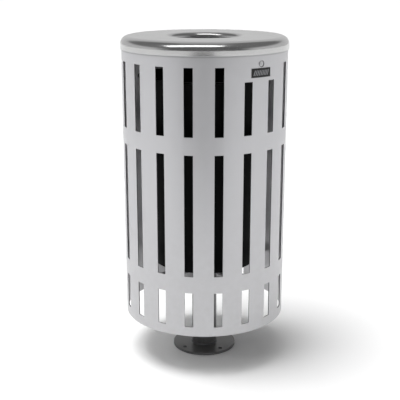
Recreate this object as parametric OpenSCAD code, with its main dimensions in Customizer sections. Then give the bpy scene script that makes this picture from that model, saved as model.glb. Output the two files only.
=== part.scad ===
// Pedestal litter bin: a slotted round steel body on a post, a lifting liner,
// and a hinged, key-locked lid with a rolled mouth.
// Millimetres, +Z up, origin on the ground under the post, lock side towards -Y.

/* [Body] */
// Outside radius of the round body
shell_r = 240; // [210:1:290]
// Thickness of the body's sheet steel
shell_wall = 3; // [2:0.5:4]
// Clear height from the ground to the body's lower edge
ground_gap = 128; // [100:1:160]

/* [Slots] */
// Number of slot columns round the body
slot_cols = 18; // [14:2:20]
// Width of every slot
slot_w = 25; // [18:1:30]
// Height of the bottom row of slots
low_slot_h = 103; // [80:1:130]
// Height of the middle row of slots
mid_slot_h = 349; // [290:1:420]
// Height of the top row of slots
top_slot_h = 186.5; // [156:0.5:224]
// Plain band under the bottom row
foot_band = 28; // [20:1:40]
// Plain band between two rows
row_band = 49.5; // [42:0.5:60]
// Plain band between the top row and the lid
neck_band = 30.5; // [28:0.5:40]
// How much lower the two slots beside the lock end
lock_drop = 41; // [38:1:50]

/* [Lid] */
// Height of the lid from its lower edge to its top
lid_h = 37; // [34:1:44]
// Thickness of the lid's sheet steel
lid_wall = 2; // [1.5:0.5:3]
// Radius of the bend round the lid's outer edge
lid_bend_r = 24; // [20:1:28]
// Height of the body that the lid's skirt covers
lid_lap = 8; // [5:0.5:9]
// Clear radius of the mouth at its narrowest
mouth_r = 102; // [80:1:110]
// Radius of the mouth's rolled edge
mouth_roll_r = 13; // [10:1:16]
// Depth of the straight collar under the rolled edge
mouth_collar_h = 13; // [8:1:14]

/* [Hinge] */
// Outside radius of the hinge barrel
barrel_r = 6; // [5:0.5:7]
// Radius of the hinge pin
hinge_pin_r = 3; // [2.5:0.25:3.5]
// Width of the whole hinge
hinge_w = 80; // [60:1:100]
// Width of the lid's own knuckle, in the middle
lid_knuckle_w = 27; // [20:1:36]
// Thickness of both hinge leaves
leaf_t = 2.5; // [2:0.5:3]

/* [Pedestal] */
// Outside radius of the post tube
post_r = 38; // [30:0.5:45]
// Wall of the post tube
post_wall = 3; // [2:0.5:5]
// Radius of the round foot plate
foot_r = 96; // [90:1:120]
// Thickness of the foot plate
foot_t = 8; // [6:1:12]
// Pitch circle diameter of the anchor holes
anchor_pcd = 156; // [140:1:164]
// Diameter of each anchor hole
anchor_d = 13; // [9:0.5:14]
// Width of each of the four carrier arms
arm_w = 40; // [30:1:50]
// Thickness of each carrier arm
arm_t = 6; // [5:1:8]

/* [Liner] */
// Outside radius of the liner at its lower edge
liner_base_r = 154; // [130:1:165]
// Outside radius of the liner's rolled rim
liner_rim_r = 195; // [180:1:200]
// Height of the liner
liner_h = 560; // [470:1:575]
// Thickness of the liner's wall and floor
liner_wall = 2.5; // [2:0.5:3.5]
// Radius of the rolled bead on the liner's rim
bead_r = 3; // [2:0.5:4]

/* [Lock] */
// Radius of the lock's outer rim
lock_rim_r = 9; // [8.5:0.25:10]
// Radius of the lock barrel where it passes through the body
lock_barrel_r = 8.2; // [8:0.1:8.4]
// Length of the lock's body, from the face of its rim to its inner end
lock_len = 24; // [20:1:28]
// Length of the cam from the lock's axis to its tip
cam_len = 30; // [26:1:34]
// Width of the name plate, along the body
plate_w = 68; // [50:1:80]
// Height of the name plate
plate_h = 25; // [18:1:30]

/* [Clearances] */
// Gap all round between the body and the lid's skirt
skirt_gap = 1; // [0.8:0.1:1.5]
// Gap between the hinge barrel and the skirt
barrel_gap = 0.8; // [0.6:0.1:1.5]
// Radial play of the hinge pin in its knuckles
pin_gap = 0.15; // [0.1:0.05:0.3]
// Gap between neighbouring knuckles
knuckle_gap = 0.5; // [0.3:0.1:1]
// Height of the liner's floor over its seat
seat_gap = 0.3; // [0.2:0.1:0.5]
// Height of the closed lid over its rubber buffers
buffer_gap = 0.3; // [0.2:0.1:0.5]
// Radial play of the turning lock plug in its barrel
plug_gap = 0.3; // [0.2:0.1:0.5]

/* [Hidden] */
$fn = 96;
over = 1;                                   // how far a cut runs past the face it cuts

// Body and slot levels
shell_in_r = shell_r - shell_wall;
low_slot_z = ground_gap + foot_band;
mid_slot_z = low_slot_z + low_slot_h + row_band;
top_slot_z = mid_slot_z + mid_slot_h + row_band;
top_slot_end = top_slot_z + top_slot_h;
lid_z = top_slot_end + neck_band;
shell_top = lid_z + lid_lap;
col_step = 360 / slot_cols;

// Lid
lid_r = shell_r + skirt_gap + lid_wall;
lid_top = lid_z + lid_h;
lid_under = lid_top - lid_wall;

// Top ring and its buffers
ring_t = 3;
ring_w = 30;
ring_in_r = shell_in_r - ring_w;
buffer_r = 5;
buffer_ring_r = lid_r - lid_bend_r - buffer_r;
buffer_stem_r = 2.5;
buffer_stem_h = 8;
buffers = 4;

// Hinge: the axis lies along X, just behind the skirt at the level of its edge
hinge_y = lid_r + barrel_gap + barrel_r;
hinge_z = lid_z;
shelf_drop = barrel_r - leaf_t;             // from the axis to the near face of each shelf
leaf_margin = 2.5;                          // from the top slots to the shell leaf
lid_leaf_w = 60;
lid_leaf_lift = 5.5;                        // keeps the lid leaf off the outer knuckles
rivet_r = 2.5;
rivet_head_r = 4.5;
rivet_head_h = 2.4;
rivet_tail_h = 1.6;
rivet_x = [-30, -12, 12, 30];
rivet_z = (top_slot_end + leaf_margin + hinge_z - shelf_drop) / 2 - 1.5;
pin_head_h = 2;
pin_head_r = hinge_pin_r + 1.5;

// Liner and its seat
liner_drop = 19.5;                          // liner's edge below the middle slots
liner_z = mid_slot_z - liner_drop;
liner_top = liner_z + liner_h;
foot_rim_h = 8;                             // rim that hangs round the seat
seat_top = liner_z + foot_rim_h - seat_gap;
seat_t = 6;
seat_play = 4;
seat_r = liner_base_r - liner_wall - seat_play;

// Carrier arms, their brackets and bolts
arms = 4;
arm_top = mid_slot_z - 44.5;
arm_end_gap = 3;
bracket_t = 4;
bracket_w = 30;
bracket_leg = 27;
bracket_h = 32;
bracket_y = sqrt(shell_in_r * shell_in_r - bracket_w * bracket_w / 4) - 0.1;
bolt_y = bracket_y - bracket_t - 12;
bolt_r = 4;
bolt_play = 0.3;
bolt_head_r = 7;
bolt_head_h = 4.4;
nut_r = 7.5;
nut_h = 6.8;
bolt_tip = 2;

// Name plate and lock: stacked over the two lower slots, on the -Y side
short_slot_end = top_slot_end - lock_drop;
plate_margin = 10.5;
plate_t = 1.2;
plate_bond = 0.1;
plate_border = 2;
plate_relief = 0.5;
plate_z = short_slot_end + plate_margin;
lock_margin = 11;
lock_z = plate_z + plate_h + lock_margin;
lock_rim_t = 1.2;
lock_hole_gap = 0.2;
lock_front = -shell_r - lock_rim_t;
lock_back = lock_front + lock_len;
recess_r = lock_rim_r - 1.75;
recess_d = 4.6;
lock_bore_r = 5.5;
plug_flange_t = 1.8;
key_boss_r = 4.4;
key_boss_h = 2.3;
lock_nut_r = 13;
lock_nut_t = 4;
lock_nut_face = -sqrt(shell_in_r * shell_in_r - lock_nut_r * lock_nut_r) + 0.1;
cam_w = 13;
cam_t = 2.5;
cam_gap = 0.5;
cam_face = lock_back + cam_gap;
cam_screw_r = 2.5;
cam_screw_head_r = 4.5;
cam_screw_head_h = 3;
cam_screw_len = 12;

// Strike under the lid, which the turned cam holds down
strike_x = 14;
strike_w = 20;
strike_t = 2.5;
strike_gap = 1;                             // under the turned cam
strike_y = cam_face + cam_t + 3;
strike_lip = 12.5;
strike_flange = 16;
strike_z = lock_z - cam_w / 2 - strike_gap - strike_t;
notch_margin = 5.5;

module round_array(count, first = 0) {
    for (i = [0:count - 1]) rotate([0, 0, first + i * 360 / count]) children();
}

// A ring with its middle on the Z axis
module ring(r_out, r_in, h) {
    difference() {
        cylinder(r = r_out, h = h);
        translate([0, 0, -over]) cylinder(r = r_in, h = h + 2 * over);
    }
}

// A bar along Y that starts at y0
module rod_y(r, y0, len, fn = 48) {
    translate([0, y0, 0]) rotate([-90, 0, 0]) cylinder(r = r, h = len, $fn = fn);
}

// A bar along X with its middle at x = 0
module rod_x(r, len) {
    rotate([0, 90, 0]) cylinder(r = r, h = len, center = true, $fn = 48);
}

// ---- pedestal -------------------------------------------------------------

module foot_plate() {
    color([0.36, 0.36, 0.37]) difference() {
        cylinder(r = foot_r, h = foot_t);
        round_array(4)
            translate([0, -anchor_pcd / 2, -over])
                cylinder(d = anchor_d, h = foot_t + 2 * over, $fn = 48);
    }
}

module post() {
    color([0.36, 0.36, 0.37])
        translate([0, 0, foot_t])
            ring(post_r, post_r - post_wall, seat_top - seat_t - foot_t);
}

module liner_seat() {
    color([0.4, 0.4, 0.41])
        translate([0, 0, seat_top - seat_t]) cylinder(r = seat_r, h = seat_t);
}

module carrier_arms() {
    color([0.4, 0.4, 0.41]) difference() {
        round_array(arms)
            translate([-arm_w / 2, -(bracket_y - arm_end_gap), arm_top - arm_t])
                cube([arm_w, bracket_y - arm_end_gap - post_r / 2, arm_t]);
        translate([0, 0, arm_top - arm_t - over]) cylinder(r = post_r, h = arm_t + 2 * over);
        round_array(arms)
            translate([0, -bolt_y, arm_top - arm_t - over])
                cylinder(r = bolt_r + bolt_play, h = arm_t + 2 * over, $fn = 48);
    }
}

module arm_brackets() {
    color([0.6, 0.6, 0.61]) round_array(arms) difference() {
        union() {
            translate([-bracket_w / 2, -bracket_y, arm_top])
                cube([bracket_w, bracket_leg, bracket_t]);
            translate([-bracket_w / 2, -bracket_y, arm_top])
                cube([bracket_w, bracket_t, bracket_h]);
        }
        translate([0, -bolt_y, arm_top - over])
            cylinder(r = bolt_r + bolt_play, h = bracket_t + 2 * over, $fn = 48);
    }
}

module arm_bolts() {
    color([0.7, 0.7, 0.7]) round_array(arms) translate([0, -bolt_y, arm_top - arm_t]) {
        cylinder(r = bolt_r, h = arm_t + bracket_t + nut_h + bolt_tip, $fn = 48);
        translate([0, 0, -bolt_head_h]) difference() {
            cylinder(r = bolt_head_r, h = bolt_head_h, $fn = 48);
            translate([0, 0, -over]) cylinder(r = bolt_r * 0.7, h = over + bolt_head_h / 2, $fn = 6);
        }
    }
}

module arm_nuts() {
    color([0.7, 0.7, 0.7]) round_array(arms)
        translate([0, -bolt_y, arm_top + bracket_t]) difference() {
            cylinder(r = nut_r, h = nut_h, $fn = 6);
            translate([0, 0, -over]) cylinder(r = bolt_r, h = nut_h + 2 * over, $fn = 48);
        }
}

// ---- body -----------------------------------------------------------------

// One slot's cutter, in the wall on the -Y side
module slot_cut(z, h) {
    translate([-slot_w / 2, -shell_r - over, z]) cube([slot_w, shell_wall * 3 + over, h]);
}

module shell() {
    color([0.74, 0.74, 0.75]) difference() {
        translate([0, 0, ground_gap]) ring(shell_r, shell_in_r, shell_top - ground_gap);
        for (i = [0:slot_cols - 1]) rotate([0, 0, (i + 0.5) * col_step]) {
            beside_lock = (i == 0 || i == slot_cols - 1);
            slot_cut(low_slot_z, low_slot_h);
            slot_cut(mid_slot_z, mid_slot_h);
            slot_cut(top_slot_z, top_slot_h - (beside_lock ? lock_drop : 0));
        }
        translate([0, 0, lock_z])
            rod_y(lock_barrel_r + lock_hole_gap, -shell_r - over, shell_wall * 2 + over);
        rivet_holes();
    }
}

module top_ring() {
    color([0.74, 0.74, 0.75]) difference() {
        translate([0, 0, shell_top - ring_t]) ring(shell_in_r, ring_in_r, ring_t);
        translate([0, 0, shell_top - ring_t - over])
            round_array(buffers, 45)
                translate([0, -buffer_ring_r, 0])
                    cylinder(r = buffer_stem_r, h = ring_t + 2 * over, $fn = 48);
        // room for the upright cam and for the strike beside it
        translate([-cam_w / 2 - notch_margin, strike_y - strike_lip - notch_margin,
                   shell_top - ring_t - over])
            cube([cam_w / 2 + strike_x + strike_w + 2 * notch_margin, ring_w * 2,
                  ring_t + 2 * over]);
    }
}

module lid_buffers() {
    color([0.12, 0.12, 0.12]) round_array(buffers, 45)
        translate([0, -buffer_ring_r, shell_top]) {
            cylinder(r = buffer_r, h = lid_under - buffer_gap - shell_top, $fn = 48);
            translate([0, 0, -buffer_stem_h])
                cylinder(r = buffer_stem_r - 0.1, h = buffer_stem_h, $fn = 48);
        }
}

module name_plate() {
    color([0.13, 0.13, 0.14]) translate([0, 0, plate_z]) difference() {
        intersection() {
            ring(shell_r + plate_bond + plate_t, shell_r + plate_bond, plate_h);
            plate_block(plate_w, 0, plate_h);
        }
        // sunk field inside a raised border
        intersection() {
            ring(shell_r + plate_t + over, shell_r + plate_bond + plate_t - plate_relief, plate_h);
            plate_block(plate_w - 2 * plate_border, plate_border, plate_h - 2 * plate_border);
        }
    }
}

// Upright block through the wall on the -Y side, which trims the name plate
module plate_block(w, z, h) {
    translate([-w / 2, -shell_r * 1.1, z]) cube([w, shell_r, h]);
}

// ---- hinge ----------------------------------------------------------------

module rivet_places() {
    for (x = rivet_x) rotate([0, 0, 180 + asin(x / shell_r)]) translate([0, 0, rivet_z]) children();
}

module rivet_holes() {
    rivet_places() rod_y(rivet_r, -shell_r - leaf_t - over, leaf_t + shell_wall + 2 * over);
}

// A strip of the ring from r_in to r_out on the hinge side, cut to a width
module hinge_strip(r_in, r_out, w, z0, z1) {
    intersection() {
        translate([0, 0, z0]) ring(r_out, r_in, z1 - z0);
        translate([-w / 2, 0, z0]) cube([w, r_out * 2, z1 - z0]);
    }
}

// A knuckle from x0 that is w wide, with its flat shelf back to the leaf
module knuckle(x0, w, shelf_z) {
    translate([x0 + w / 2, hinge_y, hinge_z]) rod_x(barrel_r, w);
    translate([x0, shell_r * 0.9, shelf_z]) cube([w, hinge_y - shell_r * 0.9, leaf_t]);
}

module pin_bore() {
    translate([0, hinge_y, hinge_z]) rod_x(hinge_pin_r + pin_gap, hinge_w + 2 * over);
}

module shell_hinge_leaf() {
    side_w = (hinge_w - lid_knuckle_w) / 2 - knuckle_gap;
    shelf_z = hinge_z - barrel_r;
    color([0.6, 0.6, 0.62]) difference() {
        union() {
            hinge_strip(shell_r * 0.9, shell_r + leaf_t, hinge_w,
                        top_slot_end + leaf_margin, hinge_z - shelf_drop);
            knuckle(-hinge_w / 2, side_w, shelf_z);
            knuckle(hinge_w / 2 - side_w, side_w, shelf_z);
        }
        translate([0, 0, top_slot_end]) cylinder(r = shell_r, h = neck_band + lid_lap);
        pin_bore();
        rivet_holes();
    }
}

module lid_hinge_leaf() {
    color([0.6, 0.6, 0.62]) difference() {
        union() {
            hinge_strip(shell_r * 0.9, lid_r + leaf_t, lid_leaf_w,
                        hinge_z + lid_leaf_lift, lid_top - lid_bend_r);
            knuckle(-lid_knuckle_w / 2, lid_knuckle_w, hinge_z + shelf_drop);
        }
        translate([0, 0, lid_z - over]) cylinder(r = lid_r, h = lid_h);
        pin_bore();
    }
}

module hinge_pin() {
    color([0.7, 0.7, 0.7]) translate([0, hinge_y, hinge_z]) {
        rod_x(hinge_pin_r, hinge_w + 2 * knuckle_gap);
        for (side = [-1, 1])
            translate([side * (hinge_w / 2 + knuckle_gap + pin_head_h / 2), 0, 0])
                rod_x(pin_head_r, pin_head_h);
    }
}

module hinge_rivets() {
    color([0.7, 0.7, 0.7]) rivet_places() {
        rod_y(rivet_r - 0.1, -shell_r - leaf_t, leaf_t + shell_wall + 0.1);
        rod_y(rivet_head_r - 0.5, -shell_in_r + 0.1, rivet_tail_h);
        // domed outer head
        translate([0, -shell_r - leaf_t, 0]) intersection() {
            translate([0, rivet_head_r, 0]) sphere(r = rivet_head_r + rivet_head_h, $fn = 48);
            rod_y(rivet_head_r, -rivet_head_h, rivet_head_h);
        }
    }
}

// ---- lid ------------------------------------------------------------------

// Half section of the lid's outer form, shrunk by t all round
module lid_section(t) {
    in_r = mouth_r + t;
    out_r = lid_r - t;
    top = lid_top - t;
    roll = mouth_roll_r - t;
    bend = lid_bend_r - t;
    base = lid_z - t;
    intersection() {
        translate([in_r, base]) square([out_r - in_r, lid_h]);
        union() {
            translate([in_r, base]) square([roll, top - roll - base]);
            translate([in_r + roll, base]) square([out_r - in_r - roll - bend, top - base]);
            translate([out_r - bend, base]) square([bend, top - bend - base]);
            translate([in_r + roll, top - roll]) circle(r = roll);
            translate([out_r - bend, top - bend]) circle(r = bend);
        }
    }
}

module lid() {
    collar_end = lid_top - mouth_roll_r - mouth_collar_h;
    color([0.78, 0.78, 0.78]) rotate_extrude() difference() {
        lid_section(0);
        lid_section(lid_wall);
        translate([mouth_r - over, lid_z - over])
            square([lid_wall + 2 * over, collar_end - lid_z + over]);
    }
}

module lid_strike() {
    color([0.6, 0.6, 0.62]) translate([strike_x, 0, 0]) {
        translate([0, strike_y, strike_z]) cube([strike_w, strike_t, lid_under - strike_z]);
        translate([0, strike_y + strike_t - strike_lip, strike_z])
            cube([strike_w, strike_lip, strike_t]);
        translate([0, strike_y, lid_under - strike_t])
            cube([strike_w, strike_flange, strike_t]);
    }
}

// ---- lock -----------------------------------------------------------------

module lock_barrel() {
    color([0.8, 0.8, 0.8]) translate([0, 0, lock_z]) difference() {
        union() {
            rod_y(lock_rim_r, lock_front, lock_rim_t);
            rod_y(lock_barrel_r, lock_front, lock_back - lock_front);
        }
        rod_y(recess_r, lock_front - over, recess_d + over);
        rod_y(lock_bore_r, lock_front, lock_back - lock_front + over);
    }
}

module lock_nut() {
    color([0.7, 0.7, 0.7]) translate([0, 0, lock_z]) difference() {
        rod_y(lock_nut_r, lock_nut_face, lock_nut_t, 6);
        rod_y(lock_barrel_r, lock_nut_face - over, lock_nut_t + 2 * over);
    }
}

module lock_plug() {
    flange_y = lock_front + recess_d - plug_gap - plug_flange_t;
    color([0.75, 0.75, 0.72]) translate([0, 0, lock_z]) difference() {
        union() {
            rod_y(recess_r - plug_gap, flange_y, plug_flange_t);
            rod_y(lock_bore_r - plug_gap, flange_y, cam_face - flange_y);
            rod_y(key_boss_r, flange_y - key_boss_h, key_boss_h + plug_flange_t / 2, 3);
        }
        rod_y(cam_screw_r, cam_face + cam_t - cam_screw_len, cam_screw_len + over);
    }
}

module lock_cam() {
    color([0.65, 0.65, 0.65]) translate([0, cam_face, lock_z]) difference() {
        union() {
            rod_y(cam_w / 2, 0, cam_t);
            translate([-cam_w / 2, 0, 0]) cube([cam_w, cam_t, cam_len - cam_w / 2]);
            translate([0, 0, cam_len - cam_w / 2]) rod_y(cam_w / 2, 0, cam_t);
        }
        rod_y(cam_screw_r, -over, cam_t + 2 * over);
    }
}

module cam_screw() {
    color([0.7, 0.7, 0.7]) translate([0, cam_face + cam_t, lock_z]) {
        rod_y(cam_screw_r - 0.1, 0.5 - cam_screw_len, cam_screw_len);
        rod_y(cam_screw_head_r, 0, cam_screw_head_h);
    }
}

// ---- liner ----------------------------------------------------------------

module liner() {
    top_r = liner_rim_r - bead_r;           // outside of the wall at the bead's middle
    wall_top = liner_top - bead_r;
    slope = (top_r - liner_base_r) / (wall_top - liner_z);
    floor_z = liner_z + foot_rim_h;
    function wall_r(z) = liner_base_r + slope * (z - liner_z);
    color([0.06, 0.06, 0.06]) rotate_extrude() {
        polygon([[wall_r(liner_z) - liner_wall, liner_z], [wall_r(liner_z), liner_z],
                 [top_r, wall_top], [top_r - liner_wall, wall_top]]);
        polygon([[0, floor_z], [wall_r(floor_z) - liner_wall / 2, floor_z],
                 [wall_r(floor_z + liner_wall) - liner_wall / 2, floor_z + liner_wall],
                 [0, floor_z + liner_wall]]);
        translate([top_r, wall_top]) circle(r = bead_r, $fn = 32);
    }
}

foot_plate();
post();
liner_seat();
carrier_arms();
arm_brackets();
arm_bolts();
arm_nuts();
shell();
top_ring();
shell_hinge_leaf();
hinge_rivets();
hinge_pin();
lid_buffers();
lock_barrel();
lock_nut();
name_plate();
lid();
lid_hinge_leaf();
lid_strike();
lock_plug();
lock_cam();
cam_screw();
liner();
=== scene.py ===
"""Looks of a pedestal litter bin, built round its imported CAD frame.

Lengths are in millimetres, and MM turns them to metres where a mesh is made. Only the studio's lamps and
sheets are named in metres. The bin stands on the ground at the origin, with its lock towards -Y and its
hinge towards +Y. Azimuths are in degrees from -Y towards +X.
"""
import logging
from dataclasses import dataclass, field, replace
from enum import Enum
from math import asin, cos, degrees, pi, radians, sin
from typing import Callable, Optional, Sequence

import bmesh
import bpy
from bmesh.types import BMesh, BMFace, BMVert
from bpy.types import NodeSocket, NodeTree, Object
from mathutils import Euler, Matrix, Vector


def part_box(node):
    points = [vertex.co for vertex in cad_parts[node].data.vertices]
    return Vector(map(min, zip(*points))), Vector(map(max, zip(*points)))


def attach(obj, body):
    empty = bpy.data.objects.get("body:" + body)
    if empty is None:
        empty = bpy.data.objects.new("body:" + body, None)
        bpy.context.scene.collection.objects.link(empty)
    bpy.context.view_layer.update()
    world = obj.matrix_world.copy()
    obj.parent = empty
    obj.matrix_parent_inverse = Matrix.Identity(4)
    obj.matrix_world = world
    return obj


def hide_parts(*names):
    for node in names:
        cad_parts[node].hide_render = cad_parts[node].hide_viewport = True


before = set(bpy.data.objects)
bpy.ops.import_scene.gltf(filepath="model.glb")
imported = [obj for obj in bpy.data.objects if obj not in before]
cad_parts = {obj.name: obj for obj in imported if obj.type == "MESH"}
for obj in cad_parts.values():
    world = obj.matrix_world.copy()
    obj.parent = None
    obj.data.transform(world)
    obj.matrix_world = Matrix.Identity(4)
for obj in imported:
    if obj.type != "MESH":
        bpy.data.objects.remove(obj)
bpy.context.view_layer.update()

MM = 0.001
ORIGIN = Vector((0.0, 0.0, 0.0))
UP = Vector((0.0, 0.0, 1.0))
SIDEWAYS = Vector((1.0, 0.0, 0.0))
SLICE_REACH = 1e-7  # a corner this near a cutting plane counts as on it, in metres
ROUND_PROFILE = 0.5  # makes a bevel a round arc
SHEET_CORNER = 60.0  # on a bent sheet, only its cut edges turn by more degrees than this

logging.basicConfig(level=logging.INFO, format="%(levelname)s %(message)s")
LOG = logging.getLogger("litter_bin")


# ---- small helpers -----------------------------------------------------------------------------------


def linear(hex_colour: str) -> tuple[float, float, float, float]:
    """Turns an sRGB hex colour into the linear colour that a shader socket takes.

    Args:
        hex_colour: Six hex digits, red first.

    Returns:
        Red, green, blue and an alpha of 1, all linear.
    """
    channels = [int(hex_colour[i:i + 2], 16) / 255 for i in (0, 2, 4)]
    # The numbers are those of the sRGB curve.
    red, green, blue = (c / 12.92 if c <= 0.04045 else ((c + 0.055) / 1.055) ** 2.4 for c in channels)
    return red, green, blue, 1.0


def around(azimuth: float, radius: float, height: float) -> Vector:
    """Gives a point on a circle round the post.

    Args:
        azimuth: Degrees from -Y towards +X.
        radius: Distance from the post's axis, in mm.
        height: Height over the ground, in mm.

    Returns:
        The point, in metres.
    """
    turn = radians(azimuth)
    return Vector((radius * sin(turn), -radius * cos(turn), height)) * MM


def top_mm(node: str) -> float:
    """Gives the height of a CAD node's highest point, in mm."""
    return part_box(node)[1].z / MM


def foot_mm(node: str) -> float:
    """Gives the height of a CAD node's lowest point, in mm."""
    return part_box(node)[0].z / MM


def radius_mm(node: str) -> float:
    """Gives the outside radius of a round CAD node that stands on the post's axis, in mm."""
    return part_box(node)[1].x / MM


def measured(measure: Callable[[], float]) -> float:
    """Makes a field whose value is measured on the frame when its sub-assembly is made."""
    return field(default_factory=measure)


def add_node(tree: NodeTree, kind: str, settings: Optional[dict] = None,
             links: Optional[dict] = None) -> bpy.types.Node:
    """Adds one shader node with its settings and its incoming links.

    Args:
        tree: The node tree that takes the node.
        kind: The node's Blender type.
        settings: Values by the name or number of an input socket, or by the name of a property.
        links: Source sockets by the name or number of an input socket.

    Returns:
        The new node.
    """
    node = tree.nodes.new(kind)
    for key, value in (settings or {}).items():
        if isinstance(key, int) or key in node.inputs:
            node.inputs[key].default_value = value
        else:
            setattr(node, key, value)
    for key, source in (links or {}).items():
        tree.links.new(source, node.inputs[key])
    return node


def emptied_tree(owner: "bpy.types.Material | bpy.types.World") -> NodeTree:
    """Turns on the nodes of a material or world and removes the default ones.

    Args:
        owner: The material or world.

    Returns:
        Its empty node tree.
    """
    owner.use_nodes = True
    owner.node_tree.nodes.clear()
    return owner.node_tree


def linked(name: str, data: bpy.types.ID) -> Object:
    """Makes an object and links it to the scene.

    Args:
        name: The object's name.
        data: Its mesh, lamp or camera.

    Returns:
        The new object.
    """
    made = bpy.data.objects.new(name, data)
    bpy.context.scene.collection.objects.link(made)
    return made


def slice_at(mesh: BMesh, point: Vector, normal: Vector) -> None:
    """Cuts every face that crosses a plane, without parting the shape.

    Args:
        mesh: The shape, changed in place.
        point: A point on the plane, in the shape's own units.
        normal: The plane's normal.
    """
    bmesh.ops.bisect_plane(mesh, geom=mesh.verts[:] + mesh.edges[:] + mesh.faces[:], dist=SLICE_REACH,
                           plane_co=point, plane_no=normal)


def absorb(mesh: BMesh, part: BMesh) -> None:
    """Adds a part to a shape.

    Args:
        mesh: The shape, changed in place.
        part: What it takes up. It is freed here.
    """
    data = bpy.data.meshes.new("part")
    part.to_mesh(data)
    part.free()
    mesh.from_mesh(data)
    bpy.data.meshes.remove(data)


# ---- finishes ----------------------------------------------------------------------------------------


PATCH_DETAIL, PATCH_ROUGHNESS = 4.0, 0.55
PATCH_LOW, PATCH_HIGH = 0.3, 0.7  # nearly all values of the broad patches lie between these
PEEL_DETAIL, ROUGH_DETAIL, GRAIN_ROUGHNESS = 2.0, 5.0, 0.5
DUST_AND_SHADE_AT_GROUND, DUST_SPECK_MM, DUST_DETAIL = 0.35, 18, 6.0
# Tone of the painted shade line under the lid's skirt.
SKIRT_SHADE_TONE = "383836"
LINE_FULL_MM, LINE_GONE_MM, LINE_STRENGTH = 1.0, 3.0, 0.28
COLOUR_A, COLOUR_B, COLOUR_OUT = 6, 7, 2  # the mix node's sockets for colours
NUMBER_A, NUMBER_B, NUMBER_OUT = 2, 3, 0  # and those for numbers


class Grain(Enum):
    """How the fine marks of a finish run over the surface."""

    PEEL = "even, rounded marks of a sprayed coat"
    TURNED = "rings round the upright axis, left by polishing a spinning pressing"
    CAST = "small irregular marks with no direction"


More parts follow.
